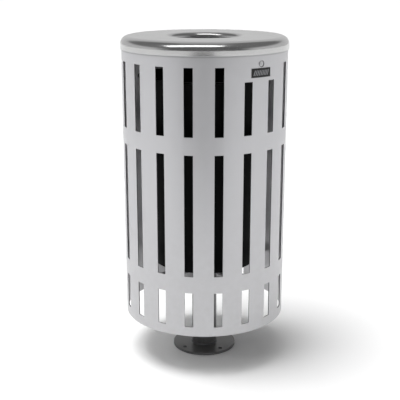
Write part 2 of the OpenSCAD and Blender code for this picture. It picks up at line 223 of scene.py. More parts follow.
@dataclass(frozen=True)
class Finish:
    """A surface finish, made from typical values of the real material.

    Attributes:
        name: The material's name.
        slot: The record's material slot that it belongs to. Not used by this script.
        light: sRGB hex of the paler tone.
        dark: sRGB hex of the darker tone, which broad patches drift to.
        metallic: 1 for bare metal, 0 for a coat or rubber, between for a coat with metal flakes.
        roughness: The shader's roughness on a clean patch.
        drift: How far roughness changes from patch to patch.
        patch_mm: Width of the broad patches.
        grain: How the fine marks run.
        grain_mm: Spacing of the fine marks, which is drawn no finer than the render can show.
        relief_mm: Depth of the fine marks.
        shine: The shader's specular level, for what isn't bare metal.
        dust_and_shade_height_mm: Height over the ground where the darker film of road dust and painted shade
            has faded out, or 0 for none.
        dust: sRGB hex of that film of road dust and painted shade.
        shade_line_mm: Height over the ground of a narrow dark line of painted shade, or 0 for none.
    """

    name: str
    slot: str
    light: str
    dark: str
    metallic: float
    roughness: float
    drift: float
    patch_mm: float
    grain: Grain
    grain_mm: float
    relief_mm: float
    shine: float = 0.5
    dust_and_shade_height_mm: float = 0.0
    dust: str = "8C8A84"
    shade_line_mm: float = 0.0

    def material(self) -> bpy.types.Material:
        """Makes the finish's material the first time, and finds it again after that.

        Returns:
            The material.
        """
        made = bpy.data.materials.get(self.name)
        if made is not None:
            return made
        made = bpy.data.materials.new(self.name)
        tree = emptied_tree(made)
        place = add_node(tree, "ShaderNodeTexCoord").outputs["Object"]
        patches = add_node(tree, "ShaderNodeTexNoise",
                           {"Scale": 1 / (self.patch_mm * MM), "Detail": PATCH_DETAIL,
                            "Roughness": PATCH_ROUGHNESS}, {"Vector": place}).outputs["Fac"]
        colour = add_node(tree, "ShaderNodeMix",
                          {"data_type": "RGBA", COLOUR_A: linear(self.dark), COLOUR_B: linear(self.light)},
                          {0: patches}).outputs[COLOUR_OUT]
        if self.dust_and_shade_height_mm:
            colour = self._dusted_and_shaded(tree, place, colour)
        if self.shade_line_mm:
            colour = self._shade_lined(tree, place, colour)
        rough = add_node(tree, "ShaderNodeMapRange",
                         {"From Min": PATCH_LOW, "From Max": PATCH_HIGH,
                          "To Min": self.roughness - self.drift, "To Max": self.roughness + self.drift},
                         {"Value": patches}).outputs["Result"]
        relief = add_node(tree, "ShaderNodeBump", {"Strength": 1.0, "Distance": self.relief_mm * MM},
                          {"Height": self._grain(tree, place)}).outputs["Normal"]
        shader = add_node(tree, "ShaderNodeBsdfPrincipled",
                          {"Metallic": self.metallic, "Specular IOR Level": self.shine},
                          {"Base Color": colour, "Roughness": rough, "Normal": relief})
        add_node(tree, "ShaderNodeOutputMaterial", {}, {"Surface": shader.outputs["BSDF"]})
        return made

    def _grain(self, tree: NodeTree, place: NodeSocket) -> NodeSocket:
        """Adds the height pattern of the fine marks.

        Args:
            tree: The material's node tree.
            place: Object coordinates.

        Returns:
            The height, from 0 to 1.
        """
        if self.grain is Grain.TURNED:
            split = add_node(tree, "ShaderNodeSeparateXYZ", {}, {"Vector": place})
            flat = add_node(tree, "ShaderNodeCombineXYZ", {},
                            {"X": split.outputs["X"], "Y": split.outputs["Y"]}).outputs["Vector"]
            reach = add_node(tree, "ShaderNodeVectorMath", {"operation": "LENGTH"}, {0: flat})
            place = add_node(tree, "ShaderNodeCombineXYZ", {},
                             {"X": reach.outputs["Value"], "Y": split.outputs["Z"]}).outputs["Vector"]
        detail = PEEL_DETAIL if self.grain is Grain.PEEL else ROUGH_DETAIL
        return add_node(tree, "ShaderNodeTexNoise",
                        {"Scale": 1 / (self.grain_mm * MM), "Detail": detail, "Roughness": GRAIN_ROUGHNESS},
                        {"Vector": place}).outputs["Fac"]

    def _shade_lined(self, tree: NodeTree, place: NodeSocket,
               colour: NodeSocket) -> NodeSocket:
        """Adds a narrow dark line round the piece: painted shade, as under the end of the lid's skirt.

        Args:
            tree: The material's node tree.
            place: Object coordinates.
            colour: The surface's colour so far.

        Returns:
            The colour with its line.
        """
        height = add_node(tree, "ShaderNodeSeparateXYZ", {}, {"Vector": place}).outputs["Z"]
        above = add_node(tree, "ShaderNodeMath", {"operation": "SUBTRACT", 1: self.shade_line_mm * MM},
                         {0: height}).outputs["Value"]
        off = add_node(tree, "ShaderNodeMath", {"operation": "ABSOLUTE"}, {0: above}).outputs["Value"]
        amount = add_node(tree, "ShaderNodeMapRange",
                          {"From Min": LINE_FULL_MM * MM, "From Max": LINE_GONE_MM * MM,
                           "To Min": LINE_STRENGTH, "To Max": 0.0}, {"Value": off}).outputs["Result"]
        return add_node(tree, "ShaderNodeMix", {"data_type": "RGBA", COLOUR_B: linear(SKIRT_SHADE_TONE)},
                        {0: amount, COLOUR_A: colour}).outputs[COLOUR_OUT]

    def _dusted_and_shaded(self, tree: NodeTree, place: NodeSocket,
                colour: NodeSocket) -> NodeSocket:
        """Adds a darker film that thins out with height: road dust, and painted shade on the lower part of a
        piece.

        Args:
            tree: The material's node tree.
            place: Object coordinates.
            colour: The clean surface's colour.

        Returns:
            The dusted colour.
        """
        height = add_node(tree, "ShaderNodeSeparateXYZ", {}, {"Vector": place}).outputs["Z"]
        fade = add_node(tree, "ShaderNodeMapRange",
                        {"From Min": 0.0, "From Max": self.dust_and_shade_height_mm * MM,
                         "To Min": DUST_AND_SHADE_AT_GROUND, "To Max": 0.0}, {"Value": height}).outputs["Result"]
        specks = add_node(tree, "ShaderNodeTexNoise",
                          {"Scale": 1 / (DUST_SPECK_MM * MM), "Detail": DUST_DETAIL},
                          {"Vector": place}).outputs["Fac"]
        amount = add_node(tree, "ShaderNodeMath", {"operation": "MULTIPLY"},
                          {0: fade, 1: specks}).outputs["Value"]
        return add_node(tree, "ShaderNodeMix", {"data_type": "RGBA", COLOUR_B: linear(self.dust)},
                        {0: amount, COLOUR_A: colour}).outputs[COLOUR_OUT]


# Polyester powder coat with aluminium flakes: it mirrors the studio softly, over a faint orange peel. Its
# film of road dust reaches 600 mm up, so it also paints shade over the lower body.
BODY_COAT = Finish(
    "silver_powder_coat", "body_paint", "C8C8CA", "C0C0C3", metallic=0.7, roughness=0.38, drift=0.03,
    patch_mm=160, grain=Grain.PEEL, grain_mm=2.5, relief_mm=0.012, dust_and_shade_height_mm=600)
# The same coat on the slotted body, with a narrow dark line of painted shade just under the end of the lid's
# skirt.
SHELL_COAT = replace(BODY_COAT, name="silver_powder_coat_with_painted_shade_line", shade_line_mm=922.0)
# The walls of the slots, in dark steel grey: painted shade, and a painted reflection of the dark inside of
# the body.
SLOT_WALL_SHADE = Finish(
    "slot_wall_painted_shade", "body_paint", "5C5C5E", "48484A", metallic=0.6, roughness=0.45,
    drift=0.06, patch_mm=25, grain=Grain.CAST, grain_mm=1.2, relief_mm=0.02)
# The same kind of coat in mid grey on the pedestal, glossier, so that the plate mirrors the post.
PEDESTAL_COAT = Finish(
    "grey_powder_coat", "pedestal_paint", "7A7A7B", "6B6B6C", metallic=0.6, roughness=0.32,
    drift=0.05, patch_mm=60, grain=Grain.PEEL, grain_mm=2.5, relief_mm=0.015, dust_and_shade_height_mm=40)
# Deep-drawn stainless steel, polished to satin while it spins: blurred but bright reflections.
LID_STEEL = Finish(
    "satin_stainless_steel", "lid_steel", "C8C8C8", "C1C1C1", metallic=1.0, roughness=0.2, drift=0.02,
    patch_mm=90, grain=Grain.TURNED, grain_mm=1.6, relief_mm=0.003)
# Zinc-plated steel hardware: pale, slightly cloudy metal.
FIXING_ZINC = Finish(
    "zinc_plated_steel", "fixings", "B9BABA", "A7A8AA", metallic=1.0, roughness=0.36, drift=0.07,
    patch_mm=12, grain=Grain.CAST, grain_mm=0.8, relief_mm=0.02)
# Die-cast zinc with satin chrome plate, dulled by weather: pale, with blurred reflections.
LOCK_CHROME = Finish(
    "satin_chrome", "lock_chrome", "CECFD0", "C4C5C6", metallic=0.85, roughness=0.4, drift=0.03,
    patch_mm=8, grain=Grain.CAST, grain_mm=0.6, relief_mm=0.006)
# The lock's recess is painted nearly black: painted shade inside the recess.
LOCK_RECESS_SHADE = Finish(
    "lock_recess_painted_shade", "lock_chrome", "101010", "0A0A0A", metallic=0.1, roughness=0.6,
    drift=0.06, patch_mm=5, grain=Grain.CAST, grain_mm=0.6, relief_mm=0.01)
# Anodised plate with a black field: satin, almost neutral.
PLATE_BLACK = Finish(
    "black_anodised_plate", "plate_black", "141415", "0F0F10", metallic=0.2, roughness=0.42,
    drift=0.05, patch_mm=15, grain=Grain.CAST, grain_mm=0.8, relief_mm=0.008)
# The plate's raised marks, rubbed back to bare aluminium.
PLATE_MARK = Finish(
    "rubbed_aluminium", "plate_black", "96979A", "7C7D80", metallic=1.0, roughness=0.4, drift=0.06,
    patch_mm=9, grain=Grain.CAST, grain_mm=0.8, relief_mm=0.008)
# Moulded nitrile rubber: matt black.
BUFFER_RUBBER = Finish(
    "moulded_rubber", "buffer_rubber", "1F1F1F", "171717", metallic=0.0, roughness=0.75, drift=0.06,
    patch_mm=10, grain=Grain.CAST, grain_mm=1.2, relief_mm=0.03)
# Thick black paint over galvanised sheet: deep black with faint broad patches and almost no shine.
LINER_COAT = Finish(
    "black_liner_coat", "liner_black", "080808", "040404", metallic=0.0, roughness=0.55, drift=0.06,
    patch_mm=80, grain=Grain.PEEL, grain_mm=3.0, relief_mm=0.02, shine=0.15)
# Weld bead under the pedestal's coat: the same grey, lumpier.
WELD_COAT = Finish(
    "coated_weld", "pedestal_paint", "6A6A6C", "5C5C5E", metallic=0.6, roughness=0.36, drift=0.06,
    patch_mm=20, grain=Grain.CAST, grain_mm=2.0, relief_mm=0.05)


# ---- making pieces -----------------------------------------------------------------------------------


@dataclass(frozen=True)
class SecondFinish:
    """A finish on some of a piece's faces.

    Attributes:
        finish: The finish.
        takes: Says whether a face takes it.
    """

    finish: Finish
    takes: Callable[[BMFace], bool]


@dataclass
class Piece:
    """One visible piece, from its bmesh to a dressed object that rides on a CAD body.

    Attributes:
        name: The object's name.
        body: The CAD body that it moves with.
        finish: Its main finish.
        replaced: The CAD nodes that it stands for.
    """

    name: str
    body: str
    finish: Finish
    replaced: tuple[str, ...] = ()

    def make(self, mesh: BMesh, smooth_under: float = 35.0,
             second: Optional[SecondFinish] = None) -> Object:
        """Turns a finished bmesh into an object, dresses it and hands it to the frame.

        Args:
            mesh: The shape in metres, in the row frame. It is freed here.
            smooth_under: Edges that turn by fewer degrees than this are shaded smooth.
            second: A second finish and the faces that take it.

        Returns:
            The new object.
        """
        if second:
            for face in mesh.faces:
                face.material_index = int(second.takes(face))
        data = bpy.data.meshes.new(self.name)
        mesh.to_mesh(data)
        mesh.free()
        data.shade_smooth()
        data.set_sharp_from_angle(angle=radians(smooth_under))
        data.materials.append(self.finish.material())
        if second:
            data.materials.append(second.finish.material())
        piece = linked(self.name, data)
        weighted = piece.modifiers.new("even_shading", "WEIGHTED_NORMAL")
        weighted.keep_sharp = True
        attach(piece, self.body)
        if self.replaced:
            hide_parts(*self.replaced)
        LOG.info("%s: %d faces on %s", self.name, len(data.polygons), self.body)
        return piece


NODE_SEAM_MM, SPIN_SEAM_MM, SECTOR_SEAM_MM = 0.002, 0.001, 0.02  # corners nearer than this are merged
FLAT_DEGREES = 0.5  # neighbouring faces that turn by less than this become one


def soften(mesh: BMesh, width: float, over_angle: float = 50.0, segments: int = 2) -> None:
    """Rounds every sharp edge of a closed shape.

    Args:
        mesh: The shape, changed in place.
        width: Size of the rounding, in mm.
        over_angle: Edges that turn by more degrees than this are rounded.
        segments: Steps across each rounding.
    """
    sharp = [e for e in mesh.edges
             if len(e.link_faces) == 2 and e.calc_face_angle(0.0) > radians(over_angle)]
    bmesh.ops.bevel(mesh, geom=sharp, offset=width * MM, affect="EDGES", segments=segments,
                    profile=ROUND_PROFILE, material=-1, clamp_overlap=True)


def softened_node(node: str, body: str, finish: Finish, width: float,
                  second: Optional[SecondFinish] = None) -> Object:
    """Makes a detailed piece from a copy of a CAD node, with rounded edges.

    Args:
        node: The CAD node to stand for.
        body: The body that it rides on.
        finish: Its finish.
        width: Size of the edge rounding, in mm.
        second: A second finish and the faces that take it.

    Returns:
        The new object.
    """
    mesh = bmesh.new()
    mesh.from_mesh(bpy.data.objects[node].data)
    bmesh.ops.remove_doubles(mesh, verts=mesh.verts, dist=NODE_SEAM_MM * MM)
    bmesh.ops.dissolve_limit(mesh, angle_limit=radians(FLAT_DEGREES), verts=mesh.verts,
                             edges=mesh.edges)
    soften(mesh, width)
    return Piece(node + "_piece", body, finish, (node,)).make(mesh, second=second)


def softened_nodes(body: str, *rows: tuple[str, Finish, float]) -> None:
    """Makes a detailed piece from each of several CAD nodes.

    Args:
        body: The body that they ride on.
        rows: Each node with its finish and the size of its edge rounding, in mm.
    """
    for node, finish, width in rows:
        softened_node(node, body, finish, width)


def revolved(outline: Sequence[tuple[float, float]], rounds: dict[int, float], steps: int,
             arc_steps: int = 10) -> BMesh:
    """Spins an outline round the upright axis.

    Args:
        outline: Points of radius and height, in mm, in order.
        rounds: Radius in mm of the arc at each rounded point, by the point's number.
        steps: Faces round the axis.
        arc_steps: Steps along each arc.

    Returns:
        The surface, open where the outline is open.
    """
    mesh = bmesh.new()
    points = [mesh.verts.new((r * MM, 0.0, z * MM)) for r, z in outline]
    for first, second in zip(points, points[1:]):
        mesh.edges.new((first, second))
    for number, radius in rounds.items():
        bmesh.ops.bevel(mesh, geom=[points[number]], offset=radius * MM, affect="VERTICES",
                        segments=arc_steps, profile=ROUND_PROFILE, material=-1)
    bmesh.ops.spin(mesh, geom=mesh.verts[:] + mesh.edges[:], cent=ORIGIN, axis=UP, angle=2 * pi,
                   steps=steps, use_merge=True)
    bmesh.ops.remove_doubles(mesh, verts=mesh.verts, dist=SPIN_SEAM_MM * MM)
    bmesh.ops.recalc_face_normals(mesh, faces=mesh.faces)
    return mesh


# ---- sub-assemblies ----------------------------------------------------------------------------------


TOP_ROW = 2  # the number of the upper row of slots
RIM_BAND_MM = 1.0  # faces nearer an upper or lower rim than this belong to the rim
EDGE_ON = 0.3  # a face whose normal leans outwards by less than this is the wall of a cut


@dataclass
class SlottedBody:
    """The rolled sheet body with its rows of slots.

    Attributes:
        wall: Thickness of the sheet, in mm.
        columns: Number of slot columns round the body.
        slot_width: Width of a slot, in mm.
        rows: Lower edge over the body's foot and height of each row of slots, in mm.
        lock_drop: How much lower the top slots beside the lock end, in mm.
        edge: Rounding of the coated edges, in mm.
        steps: Steps round and up each column, before the slots cut it further.
    """

    wall: float = 3.0
    columns: int = 18
    slot_width: float = 25.0
    rows: tuple[tuple[float, float], ...] = ((28.0, 103.0), (180.5, 349.0), (579.0, 186.5))
    lock_drop: float = 41.0
    edge: float = 0.3
    steps: tuple[int, int] = (10, 4)
    radius: float = measured(lambda: radius_mm("shell"))
    foot: float = measured(lambda: foot_mm("shell"))
    top: float = measured(lambda: top_mm("shell"))

    def build(self) -> Object:
        """Builds the body and dresses it.

        Returns:
            The body's object.
        """
        mesh = bmesh.new()
        for number in range(self.columns):
            beside_lock = number in (0, self.columns - 1)
            self._add_sector(mesh, number, self.lock_drop if beside_lock else 0.0)
        for vert in mesh.verts:
            vert.co = around(vert.co.x, self.radius, vert.co.z / MM)
        bmesh.ops.remove_doubles(mesh, verts=mesh.verts, dist=SECTOR_SEAM_MM * MM)
        bmesh.ops.recalc_face_normals(mesh, faces=mesh.faces)
        self._turn_outwards(mesh)
        bmesh.ops.solidify(mesh, geom=mesh.faces[:], thickness=self.wall * MM)
        soften(mesh, self.edge, over_angle=SHEET_CORNER)
        # The slot walls take the dark grey of painted shade.
        cut = SecondFinish(SLOT_WALL_SHADE, self._is_cut_edge)
        return Piece("shell_piece", "base", SHELL_COAT, ("shell",)).make(mesh, second=cut)

    def _is_cut_edge(self, face: BMFace) -> bool:
        """Tells the walls of the slots from the sheet's two sides and its rims.

        Args:
            face: A face of the finished sheet.

        Returns:
            Whether it is a wall of a slot.
        """
        middle = face.calc_center_median()
        across = Vector((middle.x, middle.y, 0.0)).normalized()
        on_rim = min(middle.z / MM - self.foot, self.top - middle.z / MM) < RIM_BAND_MM
        return not on_rim and abs(face.normal.dot(across)) < EDGE_ON

    def _add_sector(self, mesh: BMesh, number: int, drop: float) -> None:
        """Adds one column of the unrolled sheet, with x as the azimuth in degrees and its slots cut out.

        Args:
            mesh: The unrolled sheet so far.
            number: The column's number.
            drop: How much lower its top slot ends, in mm.
        """
        step = 360 / self.columns
        middle = (number + 0.5) * step
        half_slot = degrees(asin(self.slot_width / 2 / self.radius))
        sheet = bmesh.new()
        height = (self.top - self.foot) * MM
        bmesh.ops.create_grid(sheet, x_segments=self.steps[0], y_segments=self.steps[1], size=0.5,
                              matrix=Matrix.Translation((middle, 0.0, self.foot * MM + height / 2))
                              @ Matrix.Rotation(pi / 2, 4, "X") @ Matrix.Diagonal((step, height, 1.0, 1.0)))
        spans = [(self.foot + low, self.foot + low + tall - (drop if row == TOP_ROW else 0.0))
                 for row, (low, tall) in enumerate(self.rows)]
        cuts = [(Vector((middle + side * half_slot, 0.0, 0.0)), SIDEWAYS) for side in (-1, 1)]
        ends = {self.foot + sum(self.rows[TOP_ROW]) - lower for lower in (0.0, self.lock_drop)}
        heights = {z for span in spans for z in span} | ends
        cuts += [(Vector((0.0, 0.0, z * MM)), UP) for z in sorted(heights)]
        for point, normal in cuts:
            slice_at(sheet, point, normal)
        in_slot = [f for f in sheet.faces if abs(f.calc_center_median().x - middle) < half_slot
                   and any(low < f.calc_center_median().z / MM < high for low, high in spans)]
        bmesh.ops.delete(sheet, geom=in_slot, context="FACES")
        absorb(mesh, sheet)

    @staticmethod
    def _turn_outwards(mesh: BMesh) -> None:
        """Makes every face of the rolled sheet point away from the post."""
        level = Vector((1.0, 1.0, 0.0))
        inward = [f for f in mesh.faces if f.normal.dot(f.calc_center_median() * level) < 0]
        bmesh.ops.reverse_faces(mesh, faces=inward)


@dataclass
class Lid:
    """The pressed cover with its rolled mouth, its strike and its half of the hinge.

    Attributes:
        wall: Thickness of the pressing, in mm.
        bend: Radius of the outer bend, in mm.
        mouth: Clear radius of the mouth, in mm.
        roll: Radius of the rolled edge round the mouth, in mm.
        collar: Height of the straight collar under the roll, in mm.
        edge: Rounding of the sheet's cut edges, in mm.
    """

    wall: float = 2.0
    bend: float = 24.0
    mouth: float = 102.0
    roll: float = 13.0
    collar: float = 13.0
    edge: float = 0.6
    radius: float = measured(lambda: radius_mm("lid"))
    foot: float = measured(lambda: foot_mm("lid"))
    top: float = measured(lambda: top_mm("lid"))

    def build(self) -> None:
        """Builds the cover and dresses the pieces fixed to it."""
        outline = [(self.radius, self.foot), (self.radius, self.top), (self.mouth, self.top),
                   (self.mouth, self.top - self.roll - self.collar)]
        mesh = revolved(outline, {1: self.bend, 2: self.roll}, steps=180, arc_steps=14)
        high = max(mesh.faces, key=lambda f: f.calc_center_median().z)
        if high.normal.z < 0:
            bmesh.ops.reverse_faces(mesh, faces=mesh.faces)
        bmesh.ops.solidify(mesh, geom=mesh.faces[:], thickness=self.wall * MM)
        soften(mesh, self.edge, over_angle=SHEET_CORNER)
        Piece("lid_piece", "lid", LID_STEEL, ("lid",)).make(mesh)
        softened_nodes("lid", ("lid_hinge_leaf", LID_STEEL, 0.4), ("lid_strike", LID_STEEL, 0.4))


@dataclass
class Liner:
    """The tapered liner with its rolled rim and the rim that hangs round its seat.

    Attributes:
        wall: Thickness of wall and floor, in mm.
        base_radius: Outside radius at the lower edge, in mm.
        bead: Radius of the rolled bead, in mm.
        foot_rim: Height of the floor over the lower edge, in mm.
        tuck: How far the inside steps inwards under the bead, in mm.
        bead_round: Rounding of the bead's outside, in mm.
        floor_round: Rounding where the inside meets the floor, in mm.
        crease: Rounding of the tight bends, in mm.
    """

    wall: float = 2.5
    base_radius: float = 154.0
    bead: float = 3.0
    foot_rim: float = 8.0
    tuck: float = 0.4
    bead_round: float = 2.6
    floor_round: float = 6.0
    crease: float = 1.0
    radius: float = measured(lambda: radius_mm("liner"))
    foot: float = measured(lambda: foot_mm("liner"))
    top: float = measured(lambda: top_mm("liner"))

    def build(self) -> Object:
        """Builds the liner and dresses it.

        Returns:
            The liner's object.
        """
        neck = self.radius - self.bead
        floor = self.foot + self.foot_rim
        under_bead = self.top - 2 * self.bead
        inside = self.base_radius - self.wall
        outline = [(0.0, floor), (inside, floor), (inside, self.foot), (self.base_radius, self.foot),
                   (neck, under_bead), (self.radius, under_bead), (self.radius, self.top),
                   (neck - self.wall, self.top), (neck - self.wall - self.tuck, under_bead),
                   (inside, floor + self.wall), (0.0, floor + self.wall)]
        rounds = {9: self.floor_round, 6: self.bead_round, 5: self.bead_round, 4: self.crease,
                  1: self.crease}
        mesh = revolved(outline, rounds, steps=128, arc_steps=5)
        return Piece("liner_piece", "liner", LINER_COAT, ("liner",)).make(mesh)


@dataclass
class Pedestal:
    """The foot plate, the post, its weld and the carrier that holds body and liner.

    Attributes:
        anchor_circle: Diameter of the circle of anchor holes, in mm.
        anchor_hole: Diameter of each anchor hole, in mm.
        weld: Leg of the weld bead round the post, in mm.
        weld_sunk: How far the bead reaches into post and plate, in mm.
        weld_crown: How far the bead's middle stands out, as a share of its leg.
        weld_round: Rounding of the bead's middle, in mm.
        ripples: Number of ripples round the bead.
        ripple: How far each ripple swells it, as a share of its radius.
    """

    anchor_circle: float = 156.0
    anchor_hole: float = 13.0
    weld: float = 4.0
    weld_sunk: float = 0.5
    weld_crown: float = 0.45
    weld_round: float = 2.0
    ripples: int = 96
    ripple: float = 0.006
    plate_radius: float = measured(lambda: radius_mm("foot_plate"))
    plate_top: float = measured(lambda: top_mm("foot_plate"))
    post_radius: float = measured(lambda: radius_mm("post"))

    def build(self) -> None:
        """Builds the pedestal's pieces."""
        self._foot_plate()
        self._weld_bead()
        softened_nodes("base", ("post", PEDESTAL_COAT, 0.4), ("liner_seat", PEDESTAL_COAT, 0.8),
                       ("carrier_arms", PEDESTAL_COAT, 0.8), ("arm_brackets", BODY_COAT, 0.6),
                       ("arm_bolts", FIXING_ZINC, 0.4), ("arm_nuts", FIXING_ZINC, 0.5))

    def _foot_plate(self) -> None:
        """Builds the round plate with its anchor holes."""
        mesh = bmesh.new()
        bmesh.ops.create_circle(mesh, cap_ends=False, segments=144, radius=self.plate_radius * MM)
        for corner in range(4):
            centre = around(90.0 * corner, self.anchor_circle / 2, 0.0)
            bmesh.ops.create_circle(mesh, cap_ends=False, segments=40, radius=self.anchor_hole / 2 * MM,
                                    matrix=Matrix.Translation(centre))
        flat = bmesh.ops.triangle_fill(mesh, use_beauty=True, edges=mesh.edges[:])
        faces = [f for f in flat["geom"] if isinstance(f, BMFace)]
        lifted = bmesh.ops.extrude_face_region(mesh, geom=faces)
        rim = [v for v in lifted["geom"] if isinstance(v, BMVert)]
        bmesh.ops.translate(mesh, verts=rim, vec=UP * self.plate_top * MM)
        bmesh.ops.recalc_face_normals(mesh, faces=mesh.faces)
        soften(mesh, 0.4)
        Piece("foot_plate_piece", "base", PEDESTAL_COAT, ("foot_plate",)).make(mesh)

    def _weld_bead(self) -> None:
        """Builds the rippled fillet weld between the post and the foot plate."""
        inner, outer = self.post_radius - self.weld_sunk, self.post_radius + self.weld
        low = self.plate_top - self.weld_sunk
        outline = [(inner, low), (outer, low),
                   (self.post_radius + self.weld * self.weld_crown,
                    self.plate_top + self.weld * self.weld_crown),
                   (inner, self.plate_top + self.weld)]
        mesh = revolved(outline + outline[:1], {2: self.weld_round}, steps=self.ripples * 4, arc_steps=5)
        for vert in mesh.verts:
            turn = Vector((vert.co.x, vert.co.y)).angle_signed(Vector((0.0, -1.0)), 0.0)
            swell = 1.0 + self.ripple * sin(turn * self.ripples)
            vert.co.x *= swell
            vert.co.y *= swell
        Piece("foot_weld_piece", "base", WELD_COAT).make(mesh, smooth_under=60.0)


@dataclass
class Lock:
    """The round key lock on the front, with its cam inside.

    Attributes:
        recess: Radius of the recess in front of the plug, in mm.
        boss_height: How far the key boss stands out of the plug, in mm.
        slack: How far off these a face may lie and still count, in mm.
    """

    recess: float = 7.25
    boss_height: float = 2.3
    slack: float = 0.1
    height: float = measured(lambda: (top_mm("lock_barrel") + foot_mm("lock_barrel")) / 2)
    plug_front: float = measured(lambda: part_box("lock_plug")[0].y / MM)

    def build(self) -> None:
        """Builds the lock's pieces."""
        # The recess's inner wall and the plug's flange take the nearly black painted shade.
        softened_node("lock_barrel", "base", LOCK_CHROME, 0.35, SecondFinish(LOCK_RECESS_SHADE, self._in_recess))
        softened_node("lock_nut", "base", FIXING_ZINC, 0.4)
        softened_node("lock_plug", "lock_rotor", LOCK_CHROME, 0.25,
                      SecondFinish(LOCK_RECESS_SHADE, self._behind_boss))
        softened_nodes("lock_rotor", ("lock_cam", FIXING_ZINC, 0.3), ("cam_screw", FIXING_ZINC, 0.3))

    def _in_recess(self, face: BMFace) -> bool:
        """Tells the inner wall of the barrel from its rim and its outside."""
        middle = face.calc_center_median() / MM
        return Vector((middle.x, middle.z - self.height)).length < self.recess + self.slack

    def _behind_boss(self, face: BMFace) -> bool:
        """Tells the plug's flange from the key boss that stands out of it."""
        return face.calc_center_median().y / MM > self.plug_front + self.boss_height - self.slack


@dataclass
class NamePlate:
    """The small dark plate under the lock, with a plain row of slanted marks instead of a name.

    Attributes:
        thickness: Thickness of the plate, in mm.
        border: Width of the raised border, in mm.
        relief: Depth of the sunk field, in mm.
        marks: Number of slanted marks.
        strips: Upright strips that let the plate bend.
        gap: Clearance between the plate and the body, in mm.
        plate_edge: Rounding of the plate's edges, in mm.
        mark_edge: Rounding of the marks' edges, in mm.
        mark_room: Bare field left beside all the marks and above and below them together, in mm.
        mark_share: Part of its pitch that a mark fills.
        slant: How far a mark leans to the side for each mm of its height.
    """

    thickness: float = 1.2
    border: float = 2.0
    relief: float = 0.5
    marks: int = 9
    strips: int = 16
    gap: float = 0.1
    plate_edge: float = 0.2
    mark_edge: float = 0.15
    mark_room: tuple[float, float] = (10.0, 7.0)
    mark_share: float = 0.5
    slant: float = 0.35
    width: float = measured(lambda: 2 * radius_mm("name_plate"))
    foot: float = measured(lambda: foot_mm("name_plate"))
    top: float = measured(lambda: top_mm("name_plate"))
    body_radius: float = measured(lambda: radius_mm("shell"))

    def build(self) -> None:
        """Builds the plate and its marks."""
        plate = self._block(self.width, self.top - self.foot, self.thickness, self.strips)
        front = [f for f in plate.faces if f.normal.y < -0.9]
        bmesh.ops.inset_region(plate, faces=front, thickness=self.border * MM, use_even_offset=True)
        field_faces = [f for f in plate.faces if f.normal.y < -0.9
                       and abs(f.calc_center_median().x) < (self.width / 2 - self.border) * MM
                       and abs(f.calc_center_median().z) < ((self.top - self.foot) / 2 - self.border) * MM]
        sunk = bmesh.ops.extrude_face_region(plate, geom=field_faces)
        bmesh.ops.delete(plate, geom=field_faces, context="FACES_ONLY")
        bmesh.ops.translate(plate, verts=[v for v in sunk["geom"] if isinstance(v, BMVert)],
                            vec=Vector((0.0, self.relief * MM, 0.0)))
        soften(plate, self.plate_edge)
        self._bend(plate, self.body_radius + self.gap + self.thickness)
        Piece("name_plate_piece", "base", PLATE_BLACK, ("name_plate",)).make(plate)
        self._marks()

    def _marks(self) -> None:
        """Builds the raised slanted marks in the plate's field."""
        tall = (self.top - self.foot) - 2 * self.border - self.mark_room[1]
        pitch = (self.width - 2 * self.border - self.mark_room[0]) / self.marks
        marks = bmesh.new()
        for number in range(self.marks):
            bar = self._block(pitch * self.mark_share, tall, self.relief, 2)
            slant = Matrix.Identity(4)
            slant[0][2] = self.slant
            middle = (number - (self.marks - 1) / 2) * pitch * MM
            bmesh.ops.transform(bar, matrix=Matrix.Translation((middle, 0.0, 0.0)) @ slant,
                                verts=bar.verts)
            soften(bar, self.mark_edge)
            absorb(marks, bar)
        self._bend(marks, self.body_radius + self.thickness)
        Piece("plate_marks_piece", "base", PLATE_MARK).make(marks)

    @staticmethod
    def _block(width: float, height: float, depth: float, columns: int) -> BMesh:
        """Makes a flat block whose front lies at y = 0, cut into upright strips so that it can bend.

        Args:
            width: Along X, in mm.
            height: Along Z, in mm.
            depth: Along Y, in mm.
            columns: Number of strips.

        Returns:
            The block, with its middle at x = 0 and z = 0.
        """
        block = bmesh.new()
        bmesh.ops.create_cube(block, size=1.0, matrix=Matrix.Translation((0.0, depth / 2 * MM, 0.0))
                              @ Matrix.Diagonal((width * MM, depth * MM, height * MM, 1.0)))
        for number in range(1, columns):
            place = (number / columns - 0.5) * width * MM
            slice_at(block, Vector((place, 0.0, 0.0)), SIDEWAYS)
        return block

    def _bend(self, mesh: BMesh, front_radius: float) -> None:
        """Wraps a flat shape round the body at the plate's height.

        Args:
            mesh: The shape, with its front at y = 0.
            front_radius: Radius at which its front comes to lie, in mm.
        """
        middle = (self.top + self.foot) / 2
        for vert in mesh.verts:
            azimuth = degrees(asin(vert.co.x / MM / front_radius))
            vert.co = around(azimuth, front_radius - vert.co.y / MM, middle + vert.co.z / MM)


@dataclass
class TopFittings:
    """The ring inside the body's upper edge, the rubber buffers and the fixed half of the hinge."""

    def build(self) -> None:
        """Builds the fittings."""
        softened_nodes("base", ("top_ring", BODY_COAT, 0.5), ("lid_buffers", BUFFER_RUBBER, 0.8),
                       ("shell_hinge_leaf", BODY_COAT, 0.4), ("hinge_rivets", FIXING_ZINC, 0.25),
                       ("hinge_pin", FIXING_ZINC, 0.5))


# ---- studio ------------------------------------------------------------------------------------------


AIM_HEIGHT = 0.5  # height on the bin that the lamps point at, in metres
SENSOR_MM = 36.0
FLOOR_HALF = 40.0  # half the floor's width, in metres
WHITE = (1.0, 1.0, 1.0, 1.0)


